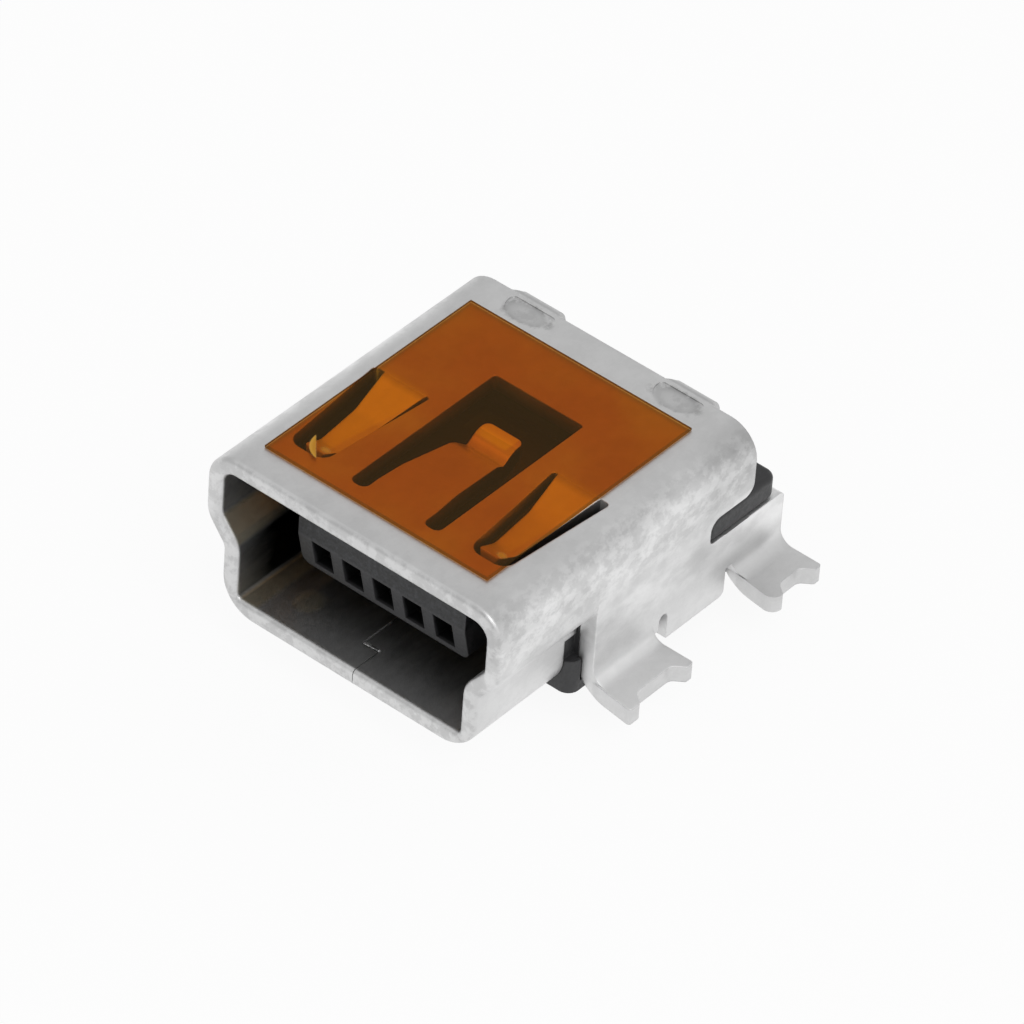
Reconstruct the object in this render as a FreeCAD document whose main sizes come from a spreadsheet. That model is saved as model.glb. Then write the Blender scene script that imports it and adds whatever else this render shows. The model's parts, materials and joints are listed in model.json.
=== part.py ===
import FreeCAD, Part
import math
import os
import Sketcher

# A mini usb socket for surface mounting: a folded sheet shell with springs and solder tabs,
# a moulded housing with its tongue and pegs, five contacts and a pick-up film.
# Millimetres. X is across the mouth, Y runs from the mouth to the rear, Z is up from the board.
# Each piece is drawn with Y = 0 at the mouth, then placed so that Y = 0 is midway between the pegs.

SIZES = [
    # Mouth and sheet
    ("PortWidth", 6.90),
    ("PortHeight", 3.10),
    ("NarrowWidth", 5.91),
    ("StepTop", 1.95),
    ("StepDrop", 0.62),
    ("StepRound", 0.28),
    ("TopCorner", 0.34),
    ("FloorCorner", 0.12),
    ("FloorBend", 0.86),
    ("Sheet", 0.40),
    ("BoardGap", 0.03),
    ("MouthRound", 0.12),
    # Shell, depths from the mouth and heights above the board
    ("ShellDepth", 8.03),
    ("FloorDepth", 2.74),
    ("SkirtStart", 3.10),
    ("SkirtEnd", 7.31),
    ("SkirtBottom", 0.06),
    ("SkirtRound", 0.15),
    ("SlitTop", 1.40),
    ("SideSlotStart", 6.69),
    ("SideSlotBottom", 1.74),
    ("SideSlotHeight", 0.62),
    ("SideSlotRound", 0.28),
    ("StripEnd", 9.10),
    # Seam in the floor, with the key that locks it
    ("SeamGap", 0.015),
    ("SeamShift", 0.18),
    ("KeyStart", 0.80),
    ("KeyLength", 1.15),
    ("KeyReach", 0.40),
    ("KeyFlare", 0.04),
    # Solder tabs
    ("TabSpan", 9.92),
    ("TabBend", 0.35),
    ("FrontTabEnd", 4.97),
    ("RearTabStart", 7.50),
    ("TabShoulder", 0.42),
    ("TabLean", 0.18),
    ("TabSplay", 0.15),
    ("ReliefStart", 5.19),
    ("ReliefWidth", 0.27),
    ("ReliefTop", 0.78),
    ("FrontProng", 0.32),
    ("RearProng", 0.21),
    ("ProngRound", 0.07),
    ("RearCorner", 0.24),
    ("NotchDepth", 0.27),
    ("NotchSlant", 0.20),
    ("NotchRound", 0.20),
    # Hooks folded down behind the housing
    ("HookSpacing", 4.07),
    ("HookWidth", 0.95),
    ("HookRootWidth", 1.30),
    ("HookBend", 0.10),
    ("CoinSpacing", 3.92),
    ("CoinLength", 0.60),
    ("CoinWidth", 1.15),
    ("CoinSetback", 0.10),
    ("CoinDepth", 0.02),
    # Latch tongue in the top
    ("LatchHoleWidth", 2.34),
    ("LatchHoleStart", 1.20),
    ("LatchHoleEnd", 5.73),
    ("LatchHoleRound", 0.17),
    ("LatchRoot", 1.65),
    ("LatchRootWidth", 1.50),
    ("LatchNeck", 3.65),
    ("LatchNeckWidth", 1.17),
    ("LatchTipWidth", 0.97),
    ("LatchBow", 2.29),
    ("LatchValley", 4.06),
    ("LatchCrest", 4.44),
    ("LatchEnd", 4.70),
    ("LatchDip", 0.20),
    ("LatchDrop", 0.50),
    ("LatchCrestDrop", 0.22),
    # Side springs in the top
    ("SpringRoot", 4.24),
    ("SpringBow", 3.14),
    ("SpringValley", 1.95),
    ("SpringTip", 1.38),
    ("SpringDip", 0.22),
    ("SpringDrop", 0.27),
    ("SpringRootWidth", 1.10),
    ("SpringBowWidth", 0.74),
    ("SpringTipWidth", 0.50),
    ("SpringCentre", 2.285),
    ("SpringHoleOuter", 3.10),
    ("SpringHoleInner", 1.62),
    ("SpringHoleNoseInner", 1.90),
    ("SpringHoleNoseOuter", 2.84),
    ("SpringHoleStart", 1.26),
    ("SpringHoleRound", 0.32),
    # Film
    ("FilmWidth", 5.83),
    ("FilmLength", 6.36),
    ("FilmThickness", 0.06),
    ("FilmGap", 0.005),
    ("FilmStart", 0.77),
    ("FilmShift", -0.10),
    # Housing
    ("FitGap", 0.03),
    ("HousingGap", 0.02),
    ("CavityDepth", 6.23),
    ("SillRecess", 0.15),
    ("FootInset", 0.29),
    ("FootHeight", 0.85),
    ("FootRound", 0.28),
    ("HeelLength", 0.20),
    ("HeelHeight", 0.28),
    ("LedgeEnd", 8.89),
    ("LugGap", 0.01),
    ("LugInset", 0.03),
    ("LugCorner", 0.28),
    ("LugRound", 0.12),
    ("NoseSetback", 0.97),
    ("NoseSlant", 0.20),
    ("TongueWidth", 4.40),
    ("TongueThickness", 1.45),
    ("TongueUnderside", 1.20),
    ("TongueRound", 0.20),
    ("WindowTop", 2.04),
    ("RimThickness", 0.14),
    ("RimDepth", 0.30),
    ("SlotWidth", 0.50),
    # Pegs
    ("PegDiameter", 0.86),
    ("PegSpacing", 4.40),
    ("PegSetback", 3.98),
    ("PegLength", 0.88),
    ("PegChamfer", 0.15),
    # Contacts
    ("ContactPitch", 0.80),
    ("ContactWidth", 0.40),
    ("ContactSheet", 0.15),
    ("ContactGap", 0.04),
    ("ContactBend", 0.15),
    ("ContactHeight", 1.41),
    ("ContactBow", 5.00),
    ("CrownHeight", 1.17),
    ("CrownSetback", 3.10),
    ("TipHeight", 1.54),
    ("TipSetback", 2.10),
    ("TailSetback", 8.60),
    ("FootEnd", 9.70),
]
CONTACT_COUNT = 5
ALONG = {
    "x": FreeCAD.Vector(1, 0, 0),
    "y": FreeCAD.Vector(0, 1, 0),
    "z": FreeCAD.Vector(0, 0, 1),
}
STANDING = {
    "XY_Plane": FreeCAD.Rotation(),
    "XZ_Plane": FreeCAD.Rotation(ALONG["x"], 90),
    "YZ_Plane": FreeCAD.Rotation(FreeCAD.Vector(1, 1, 1), 120),
}


class Size:
    """A length together with the sheet expression that gives it."""

    def __init__(self, value, text):
        self.value = value
        self.text = text

    def __add__(self, other):
        return combine(self, "+", other)

    def __sub__(self, other):
        return combine(self, "-", other)

    def __mul__(self, other):
        return combine(self, "*", other)

    def __truediv__(self, other):
        return combine(self, "/", other)

    def __neg__(self):
        return combine(0, "-", self)


def as_size(number):
    """A plain number as a size without an alias."""
    if isinstance(number, Size):
        return number
    return Size(float(number), f"({float(number)})")


def combine(first, sign, second):
    """What two sizes or numbers give together."""
    first = as_size(first)
    second = as_size(second)
    if sign == "+":
        value = first.value + second.value
    elif sign == "-":
        value = first.value - second.value
    elif sign == "*":
        value = first.value * second.value
    else:
        value = first.value / second.value
    return Size(value, f"({first.text} {sign} {second.text})")


def diagonal(first, second):
    """The length of the diagonal over two lengths at right angles."""
    return Size(math.hypot(first.value, second.value), f"sqrt({first.text}^2 + {second.text}^2)")


def smaller(first, second):
    """The smaller of two sizes."""
    return Size(min(first.value, second.value), f"min({first.text}; {second.text})")


def fill_sheet(doc):
    """Writes the driving dimensions into the sheet and returns them by name."""
    sheet = doc.addObject("Spreadsheet::Sheet", "Sizes")
    for row, (alias, value) in enumerate(SIZES, start=1):
        sheet.set(f"A{row}", alias)
        sheet.set(f"B{row}", str(value))
        sheet.setAlias(f"B{row}", alias)
    doc.recompute()
    return {alias: Size(float(sheet.get(alias)), f"Sizes.{alias}") for alias, value in SIZES}


def bind(item, name, size):
    """Gives a property the expression that keeps its size."""
    item.setExpression(name, as_size(size).text)


def pin_size(sketch, size, kind, *places):
    """Adds a dimension to a sketch and binds it."""
    index = sketch.addConstraint(Sketcher.Constraint(kind, *places, as_size(size).value))
    bind(sketch, f"Constraints[{index}]", size)


def pin_point(sketch, x, y, geometry, position):
    """Ties a point of a sketch to its distances from the origin."""
    pin_size(sketch, x, "DistanceX", -1, 1, geometry, position)
    pin_size(sketch, y, "DistanceY", -1, 1, geometry, position)


def corner_arc(before, corner, after, radius):
    """The arc that rounds a corner, its two tangent points as travelled, and if it turns left."""
    arriving = (corner - before).normalize()
    leaving = (after - corner).normalize()
    turn = arriving.x * leaving.y - arriving.y * leaving.x
    setback = radius * math.tan(arriving.getAngle(leaving) / 2)
    first = corner - arriving * setback
    last = corner + leaving * setback
    centre = first + FreeCAD.Vector(-arriving.y, arriving.x, 0) * math.copysign(radius, turn)
    ends = (first, last) if turn > 0 else (last, first)
    start, end = [math.atan2(point.y - centre.y, point.x - centre.x) for point in ends]
    if end < start:
        end += 2 * math.pi
    circle = Part.Circle(centre, ALONG["z"], radius)
    return Part.ArcOfCircle(circle, start, end), first, last, turn > 0


def draw_outline(sketch, corners, closed=True):
    """Draws straight runs through the corners (x, y, radius), rounded where a radius is given."""
    points = [FreeCAD.Vector(as_size(x).value, as_size(y).value, 0) for x, y, radius in corners]
    radii = [as_size(radius) for x, y, radius in corners]
    count = len(points)
    marks = []
    arcs = {}
    for index, (x, y, radius) in enumerate(corners):
        marks.append(sketch.addGeometry(Part.Point(points[index]), True))
        pin_point(sketch, x, y, marks[index], 1)
        if radii[index].value > 0:
            neighbours = points[index - 1], points[index], points[(index + 1) % count]
            arc, first, last, left = corner_arc(*neighbours, radii[index].value)
            arcs[index] = (sketch.addGeometry(arc), first, last, left)
    runs = []
    for index in range(count if closed else count - 1):
        following = (index + 1) % count
        start = arcs[index][2] if index in arcs else points[index]
        end = arcs[following][1] if following in arcs else points[following]
        runs.append(sketch.addGeometry(Part.LineSegment(start, end)))
        for corner, position in ((index, 1), (following, 2)):
            if corner in arcs:
                tie = Sketcher.Constraint("PointOnObject", marks[corner], 1, runs[index])
            else:
                tie = Sketcher.Constraint("Coincident", runs[index], position, marks[corner], 1)
            sketch.addConstraint(tie)
    for index, (arc, first, last, left) in arcs.items():
        near, far = (1, 2) if left else (2, 1)
        sketch.addConstraint(Sketcher.Constraint("Tangent", runs[index - 1], 2, arc, near))
        sketch.addConstraint(Sketcher.Constraint("Tangent", arc, far, runs[index], 1))
        pin_size(sketch, radii[index], "Radius", arc)


def draw_circle(sketch, x, y, radius):
    """Draws a full circle."""
    centre = FreeCAD.Vector(as_size(x).value, as_size(y).value, 0)
    circle = sketch.addGeometry(Part.Circle(centre, ALONG["z"], radius.value))
    pin_point(sketch, x, y, circle, 3)
    pin_size(sketch, radius, "Radius", circle)


def draw_box(sketch, left, right, low, high):
    """Draws an upright rectangle."""
    draw_outline(sketch, [(left, low, 0), (right, low, 0), (right, high, 0), (left, high, 0)])


def both_sides(half):
    """Half an outline followed by its mirror image across X = 0."""
    return half + [(-x, y, radius) for x, y, radius in reversed(half)]


def free_sketch(doc, name, plane):
    """A sketch that stands by itself, for the folded sheet."""
    sketch = doc.addObject("Sketcher::SketchObject", name)
    sketch.Placement = FreeCAD.Placement(FreeCAD.Vector(), STANDING[plane])
    return sketch


def body_sketch(body, name, plane, offset=0):
    """A sketch on one of its own body's planes, moved along that plane's normal."""
    sketch = body.newObject("Sketcher::SketchObject", name)
    support = [item for item in body.Origin.OriginFeatures if item.Role == plane][0]
    sketch.AttachmentSupport = [(support, "")]
    sketch.MapMode = "FlatFace"
    bind(sketch, "AttachmentOffset.Base.z", offset)
    return sketch


def extrude(doc, name, sketch, axis, start, end):
    """Extrudes a sketch along an axis from a start to an end."""
    piece = doc.addObject("Part::Extrusion", name)
    piece.Base = sketch
    piece.DirMode = "Custom"
    piece.Dir = ALONG[axis]
    piece.Solid = True
    bind(piece, "LengthFwd", as_size(end) - start)
    bind(sketch, f"Placement.Base.{axis}", start)
    return piece


def sweep(doc, name, section, path):
    """Sweeps a section along a path."""
    doc.recompute()
    piece = doc.addObject("Part::Sweep", name)
    piece.Sections = [section]
    piece.Spine = (path, [f"Edge{number}" for number in range(1, len(path.Shape.Edges) + 1)])
    piece.Solid = True
    return piece


def join(doc, kind, name, pieces):
    """Several shapes joined, or what they share."""
    piece = doc.addObject(f"Part::Multi{kind}", name)
    piece.Shapes = pieces
    return piece


def cut(doc, name, base, tools):
    """The base with the tools taken away."""
    piece = doc.addObject("Part::Cut", name)
    piece.Base = base
    piece.Tool = tools[0] if len(tools) == 1 else join(doc, "Fuse", f"{name}Tools", tools)
    return piece


def mirror(doc, source):
    """The other hand of a shape, across X = 0."""
    piece = doc.addObject("Part::Mirroring", f"{source.Name}Left")
    piece.Source = source
    piece.Normal = ALONG["x"]
    return piece


def add_feature(body, kind, name, sketch, length, backwards=False, symmetric=False):
    """A pad or a pocket of a sketch."""
    feature = body.newObject(f"PartDesign::{kind}", name)
    feature.Profile = sketch
    bind(feature, "Length", length)
    feature.SideType = "Symmetric" if symmetric else "One side"
    feature.Reversed = backwards
    return feature


def round_edges(doc, body, kind, name, size, wanted):
    """Rounds or chamfers the body's edges that the test picks."""
    doc.recompute()
    base = body.Tip
    edges = [
        f"Edge{number}"
        for number, edge in enumerate(base.Shape.Edges, start=1)
        if wanted(edge.BoundBox)
    ]
    feature = body.newObject(f"PartDesign::{kind}", name)
    feature.Base = (base, edges)
    bind(feature, "Radius" if kind == "Fillet" else "Size", size)
    return feature


def heights(size):
    """The levels that pieces share: the port's floor and ceiling and the top of the shell."""
    floor = size["BoardGap"] + size["Sheet"]
    ceiling = floor + size["PortHeight"]
    return floor, ceiling, ceiling + size["Sheet"]


def ledge_top(size):
    """The top of the housing's ledge, just below the slot's upper edge."""
    return size["SideSlotBottom"] + size["SideSlotHeight"] - size["FitGap"]


def port_half(size, wall):
    """Half the mouth's outline at a distance outside the port, from the top down."""
    floor, ceiling, top = heights(size)
    run = (size["PortWidth"] - size["NarrowWidth"]) / 2
    # Outside a slope, an upright run's end slides down by the tangent of half the turn.
    slide = wall * (diagonal(size["StepDrop"], run) - size["StepDrop"]) / run
    step = floor + size["StepTop"] - slide
    return [
        (size["PortWidth"] / 2 + wall, ceiling + wall, size["TopCorner"] + wall),
        (size["PortWidth"] / 2 + wall, step, size["StepRound"] + wall),
        (size["NarrowWidth"] / 2 + wall, step - size["StepDrop"], size["StepRound"] + size["Sheet"] - wall),
        (size["NarrowWidth"] / 2 + wall, floor - wall, size["FloorCorner"] + wall),
    ]


def make_mouth(doc, size):
    """The closed front of the shell, with its rim rounded and the floor trimmed behind."""
    outside = free_sketch(doc, "MouthOutside", "XZ_Plane")
    outer_half = port_half(size, size["Sheet"])
    outer_half[-1] = outer_half[-1][:2] + (size["FloorBend"],)
    draw_outline(outside, both_sides(outer_half))
    inside = free_sketch(doc, "MouthInside", "XZ_Plane")
    draw_outline(inside, both_sides(port_half(size, as_size(0))))
    block = extrude(doc, "MouthBlock", outside, "y", 0, size["SkirtStart"])
    hollow = extrude(doc, "MouthHollow", inside, "y", 0, size["SkirtStart"])
    tube = cut(doc, "MouthTube", block, [hollow])
    doc.recompute()
    rim = doc.addObject("Part::Fillet", "MouthRim")
    rim.Base = tube
    radius = min(size["MouthRound"].value, 0.45 * size["Sheet"].value)
    rim.Edges = [
        (number, radius, radius)
        for number, edge in enumerate(tube.Shape.Edges, start=1)
        if edge.BoundBox.YMax < 0.001
    ]
    reach = size["PortWidth"]
    trim = free_sketch(doc, "FloorTrimOutline", "XZ_Plane")
    draw_box(trim, -reach, reach, -size["Sheet"], size["SlitTop"])
    rear_trim = extrude(doc, "FloorTrim", trim, "y", size["FloorDepth"], size["SkirtStart"] + size["Sheet"])
    return cut(doc, "Mouth", rim, [rear_trim, make_seam(doc, size)])


def make_seam(doc, size):
    """The gap where the two ends of the sheet meet in the floor, round a dovetail key."""
    gap = size["SeamGap"]
    line = size["SeamShift"]
    key = line - size["KeyReach"]
    start = size["KeyStart"]
    end = size["KeyStart"] + size["KeyLength"]
    flare = size["KeyFlare"]
    ahead = -size["Sheet"]
    behind = size["SkirtStart"]
    outline = free_sketch(doc, "SeamOutline", "XY_Plane")
    draw_outline(outline, [
        (line, ahead, 0),
        (line, start, 0),
        (key, start - flare, 0),
        (key, end + flare, 0),
        (line, end, 0),
        (line, behind, 0),
        (line + gap, behind, 0),
        (line + gap, end - gap, 0),
        (key + gap, end + flare - gap, 0),
        (key + gap, start - flare + gap, 0),
        (line + gap, start + gap, 0),
        (line + gap, ahead, 0),
    ])
    floor, ceiling, top = heights(size)
    return extrude(doc, "Seam", outline, "z", -size["Sheet"], floor + size["Sheet"] / 2)


def make_cap(doc, size):
    """The top of the shell behind the mouth, with its two rounded corners."""
    floor, ceiling, top = heights(size)
    half = size["PortWidth"] / 2
    spring = ceiling - size["TopCorner"]
    outer = half + size["Sheet"]
    sketch = free_sketch(doc, "CapSection", "XZ_Plane")
    draw_outline(sketch, [
        (outer, spring - size["Sheet"], 0),
        (outer, top, size["TopCorner"] + size["Sheet"]),
        (-outer, top, size["TopCorner"] + size["Sheet"]),
        (-outer, spring - size["Sheet"], 0),
        (-half, spring - size["Sheet"], 0),
        (-half, ceiling, size["TopCorner"]),
        (half, ceiling, size["TopCorner"]),
        (half, spring - size["Sheet"], 0),
    ])
    return extrude(doc, "Cap", sketch, "y", size["SkirtStart"], size["ShellDepth"])


def make_side(doc, size):
    """The upright right side behind the mouth, with its slot, reliefs and skirt."""
    floor, ceiling, top = heights(size)
    half = size["PortWidth"] / 2
    bend = size["Sheet"] + size["TabBend"]
    relief = size["ReliefWidth"]
    relief_end = size["ReliefStart"] + relief
    nearly_half = 0.49
    slot_top = size["SideSlotBottom"] + size["SideSlotHeight"]
    crown = ceiling - size["TopCorner"] - size["Sheet"] / 2
    sketch = free_sketch(doc, "SideOutline", "YZ_Plane")
    draw_outline(sketch, [
        (size["SkirtStart"], crown, 0),
        (size["SkirtStart"], bend, 0),
        (size["FrontTabEnd"], bend, 0),
        (size["FrontTabEnd"], size["TabShoulder"], 0),
        (size["ReliefStart"], size["TabShoulder"], 0),
        (size["ReliefStart"], size["ReliefTop"], relief * nearly_half),
        (relief_end, size["ReliefTop"], relief * nearly_half),
        (relief_end, size["SkirtBottom"], 0),
        (size["SkirtEnd"], size["SkirtBottom"], size["SkirtRound"]),
        (size["SkirtEnd"], bend, 0),
        (size["StripEnd"], bend, 0),
        (size["StripEnd"], size["SideSlotBottom"], size["SkirtRound"]),
        (size["SideSlotStart"], size["SideSlotBottom"], size["SideSlotRound"] / 2),
        (size["SideSlotStart"], slot_top, size["SideSlotRound"]),
        (size["ShellDepth"], slot_top, size["SideSlotRound"]),
        (size["ShellDepth"], crown, 0),
    ])
    return extrude(doc, "Side", sketch, "x", half, half + size["Sheet"])


def make_tab(doc, size, name, start, lean, corner, end):
    """A solder tab: a leg bent outwards on to the board, its flat end notched between two prongs."""
    half = size["PortWidth"] / 2
    reach = size["TabSpan"] / 2
    bend = size["Sheet"] + size["TabBend"]
    foot = start + lean
    splay = size["TabSplay"]
    front = foot - splay
    section = free_sketch(doc, f"{name}Section", "XZ_Plane")
    draw_outline(section, [
        (half, bend, 0),
        (half, 0, bend * 0.999),
        (reach, 0, 0),
        (reach, size["Sheet"], 0),
        (half + size["Sheet"], size["Sheet"], size["TabBend"] * 0.999),
        (half + size["Sheet"], bend, 0),
    ])
    bent = extrude(doc, f"{name}Bent", section, "y", start - splay, end)
    outline = free_sketch(doc, f"{name}Outline", "YZ_Plane")
    draw_outline(outline, [
        (start, bend, 0),
        (foot, size["Sheet"], 0),
        (end, size["Sheet"], 0),
        (end, bend, 0),
    ])
    leg = extrude(doc, f"{name}Leg", outline, "x", 0, reach)
    plan = free_sketch(doc, f"{name}Plan", "XY_Plane")
    notch_start = front + size["FrontProng"]
    notch_end = end - size["RearProng"]
    deep = reach - size["NotchDepth"]
    # A corner's round takes its radius times the tangent of half the turn from the prong's end.
    run = reach - half - size["Sheet"]
    slope = diagonal(size["NotchDepth"], size["NotchSlant"]) - size["NotchSlant"]
    room = size["FrontProng"] - size["ProngRound"] * slope / size["NotchDepth"]
    nearly_all = 0.99
    corner = smaller(corner, room * run / (diagonal(run, splay) + splay) * nearly_all)
    draw_outline(plan, [
        (half, foot, 0),
        (half + size["Sheet"], foot, size["Sheet"]),
        (reach, front, corner),
        (reach, notch_start, size["ProngRound"]),
        (deep, notch_start + size["NotchSlant"], size["NotchRound"]),
        (deep, notch_end - size["NotchSlant"], size["NotchRound"]),
        (reach, notch_end, size["ProngRound"]),
        (reach, end, size["ProngRound"]),
        (half, end, 0),
    ])
    plate = extrude(doc, f"{name}Plate", plan, "z", 0, size["Sheet"])
    blank = join(doc, "Fuse", f"{name}Blank", [leg, plate])
    return join(doc, "Common", name, [bent, blank])


def make_hook(doc, size):
    """A hook at the rear of the top, folded down behind the housing."""
    floor, ceiling, top = heights(size)
    inner = size["ShellDepth"] + size["FitGap"]
    outer = inner + size["Sheet"]
    rear = outer + size["Sheet"]
    low = ledge_top(size) + size["FitGap"]
    root = size["ShellDepth"] - size["Sheet"]
    section = free_sketch(doc, "HookSection", "YZ_Plane")
    draw_outline(section, [
        (root, ceiling, 0),
        (inner, ceiling, size["HookBend"]),
        (inner, low, 0),
        (outer, low, 0),
        (outer, top, size["HookBend"] + size["Sheet"]),
        (root, top, 0),
    ])
    middle = size["HookSpacing"] / 2
    wide = size["HookRootWidth"] / 2
    narrow = size["HookWidth"] / 2
    bent = extrude(doc, "HookBent", section, "x", middle - wide, middle + wide)
    plan = free_sketch(doc, "HookPlan", "XY_Plane")
    shoulder = size["ShellDepth"] + (wide - narrow)
    draw_outline(plan, [
        (middle - wide, root, 0),
        (middle + wide, root, 0),
        (middle + wide, size["ShellDepth"], 0),
        (middle + narrow, shoulder, 0),
        (middle + narrow, rear, 0),
        (middle - narrow, rear, 0),
        (middle - narrow, shoulder, 0),
        (middle - wide, size["ShellDepth"], 0),
    ])
    blank = extrude(doc, "HookBlank", plan, "z", 0, top + size["Sheet"])
    return join(doc, "Common", "Hook", [bent, blank])


def make_coin(doc, size):
    """The shallow mark pressed into the top in front of a hook."""
    floor, ceiling, top = heights(size)
    middle = size["CoinSpacing"] / 2
    half = size["CoinWidth"] / 2
    rear = size["ShellDepth"] - size["CoinSetback"]
    front = rear - size["CoinLength"]
    sketch = free_sketch(doc, "CoinOutline", "XY_Plane")
    draw_outline(sketch, [
        (middle - half, rear, half * 0.2),
        (middle - half, front, half * 0.8),
        (middle + half, front, half * 0.8),
        (middle + half, rear, half * 0.2),
    ])
    return extrude(doc, "Coin", sketch, "z", top - size["CoinDepth"], top + size["Sheet"])


def make_latch_hole(doc, size):
    """The opening in the top round the latch tongue: a window with two slots running forward."""
    floor, ceiling, top = heights(size)
    half = size["LatchHoleWidth"] / 2
    root = size["LatchRootWidth"] / 2
    rounding = size["LatchHoleRound"]
    sketch = free_sketch(doc, "LatchHoleOutline", "XY_Plane")
    draw_outline(sketch, both_sides([
        (half, size["LatchHoleEnd"], rounding / 2),
        (half, size["LatchHoleStart"], rounding),
        (root, size["LatchHoleStart"], rounding),
        (root, size["LatchRoot"], 0),
    ]))
    return extrude(doc, "LatchHole", sketch, "z", ceiling - size["Sheet"], top + size["Sheet"])


def strip_section(doc, size, name, width, centre, setback, level):
    """The cross-section of a spring's strip, standing across the sheet at its root."""
    section = free_sketch(doc, name, "XZ_Plane")
    half = size["Sheet"] / 2
    draw_box(section, centre - width / 2, centre + width / 2, level - half, level + half)
    bind(section, "Placement.Base.y", setback)
    return section


def make_latch(doc, size):
    """The latch tongue: rooted at the front, dipping into the port, its end turned up."""
    floor, ceiling, top = heights(size)
    level = top - size["Sheet"] / 2
    start = size["LatchRoot"] - size["Sheet"] / 2
    path = free_sketch(doc, "LatchPath", "YZ_Plane")
    draw_outline(path, [
        (start, level, 0),
        (size["LatchBow"], level, size["Sheet"] * 4),
        (size["LatchNeck"], level - size["LatchDip"], size["Sheet"]),
        (size["LatchValley"], level - size["LatchDrop"], size["Sheet"] * 0.7),
        (size["LatchCrest"], level - size["LatchCrestDrop"], size["Sheet"] * 0.6),
        (size["LatchEnd"], level - size["LatchCrestDrop"], 0),
    ], closed=False)
    section = strip_section(doc, size, "LatchSection", size["LatchRootWidth"], as_size(0), start, level)
    strip = sweep(doc, "LatchStrip", section, path)
    plan = free_sketch(doc, "LatchPlan", "XY_Plane")
    draw_outline(plan, both_sides([
        (size["LatchRootWidth"] / 2, start, 0),
        (size["LatchRootWidth"] / 2, size["LatchRoot"], 0),
        (size["LatchNeckWidth"] / 2, size["LatchNeck"], 0),
        (size["LatchTipWidth"] / 2, size["LatchValley"], 0),
        (size["LatchTipWidth"] / 2, size["LatchEnd"], size["Sheet"] * 0.4),
    ]))
    blank = extrude(doc, "LatchBlank", plan, "z", 0, top + size["Sheet"])
    return join(doc, "Common", "Latch", [strip, blank])


def make_spring_hole(doc, size):
    """The opening round the right side spring."""
    floor, ceiling, top = heights(size)
    sketch = free_sketch(doc, "SpringHoleOutline", "XY_Plane")
    draw_outline(sketch, [
        (size["SpringHoleInner"], size["SpringRoot"], size["SpringHoleRound"] / 4),
        (size["SpringHoleNoseInner"], size["SpringHoleStart"], size["SpringHoleRound"]),
        (size["SpringHoleNoseOuter"], size["SpringHoleStart"], size["SpringHoleRound"]),
        (size["SpringHoleOuter"], size["SpringRoot"], size["SpringHoleRound"] / 3),
    ])
    return extrude(doc, "SpringHole", sketch, "z", ceiling - size["Sheet"], top + size["Sheet"])


def make_spring(doc, size):
    """The right side spring: rooted at the rear, bowed down, its tip turned up to the film."""
    floor, ceiling, top = heights(size)
    level = top - size["Sheet"] / 2
    centre = size["SpringCentre"]
    start = size["SpringRoot"] + size["Sheet"] / 2
    path = free_sketch(doc, "SpringPath", "YZ_Plane")
    draw_outline(path, [
        (start, level, 0),
        (size["SpringRoot"], level, size["Sheet"]),
        (size["SpringBow"], level - size["SpringDip"], size["Sheet"] * 3),
        (size["SpringValley"], level - size["SpringDrop"], size["Sheet"] * 1.5),
        (size["SpringTip"], level, 0),
    ], closed=False)
    bind(path, "Placement.Base.x", centre)
    wide = size["SpringRootWidth"]
    section = strip_section(doc, size, "SpringSection", wide, centre, start, level)
    strip = sweep(doc, "SpringStrip", section, path)
    root = wide / 2
    waist = size["SpringBowWidth"] / 2
    tip = size["SpringTipWidth"] / 2
    plan = free_sketch(doc, "SpringPlan", "XY_Plane")
    draw_outline(plan, [
        (centre - root, start, 0),
        (centre - root, size["SpringRoot"], 0),
        (centre - waist, size["SpringBow"], size["SpringRoot"] / 2),
        (centre - tip, size["SpringTip"], tip * 0.7),
        (centre + tip, size["SpringTip"], tip * 0.7),
        (centre + waist, size["SpringBow"], size["SpringRoot"] / 2),
        (centre + root, size["SpringRoot"], 0),
        (centre + root, start, 0),
    ])
    blank = extrude(doc, "SpringBlank", plan, "z", 0, top - size["FitGap"] / 2)
    return join(doc, "Common", "Spring", [strip, blank])


def make_shell(doc, size):
    """The shell: one folded sheet."""
    side = make_side(doc, size)
    front_tab = make_tab(
        doc, size, "FrontTab", size["SkirtStart"], 0, size["ProngRound"], size["FrontTabEnd"])
    rear_tab = make_tab(
        doc, size, "RearTab", size["RearTabStart"], size["TabLean"], size["RearCorner"], size["StripEnd"])
    flank = join(doc, "Fuse", "Flank", [side, front_tab, rear_tab])
    hook = make_hook(doc, size)
    folded = join(doc, "Fuse", "Folded", [
        make_mouth(doc, size),
        make_cap(doc, size),
        flank,
        mirror(doc, flank),
        hook,
        mirror(doc, hook),
    ])
    hole = make_spring_hole(doc, size)
    coin = make_coin(doc, size)
    punched = cut(doc, "Punched", folded, [
        make_latch_hole(doc, size),
        hole,
        mirror(doc, hole),
        coin,
        mirror(doc, coin),
    ])
    spring = make_spring(doc, size)
    shell = join(doc, "Fuse", "Shell", [punched, make_latch(doc, size), spring, mirror(doc, spring)])
    shell.Refine = True
    shell.Label = "shell"
    return shell


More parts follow.
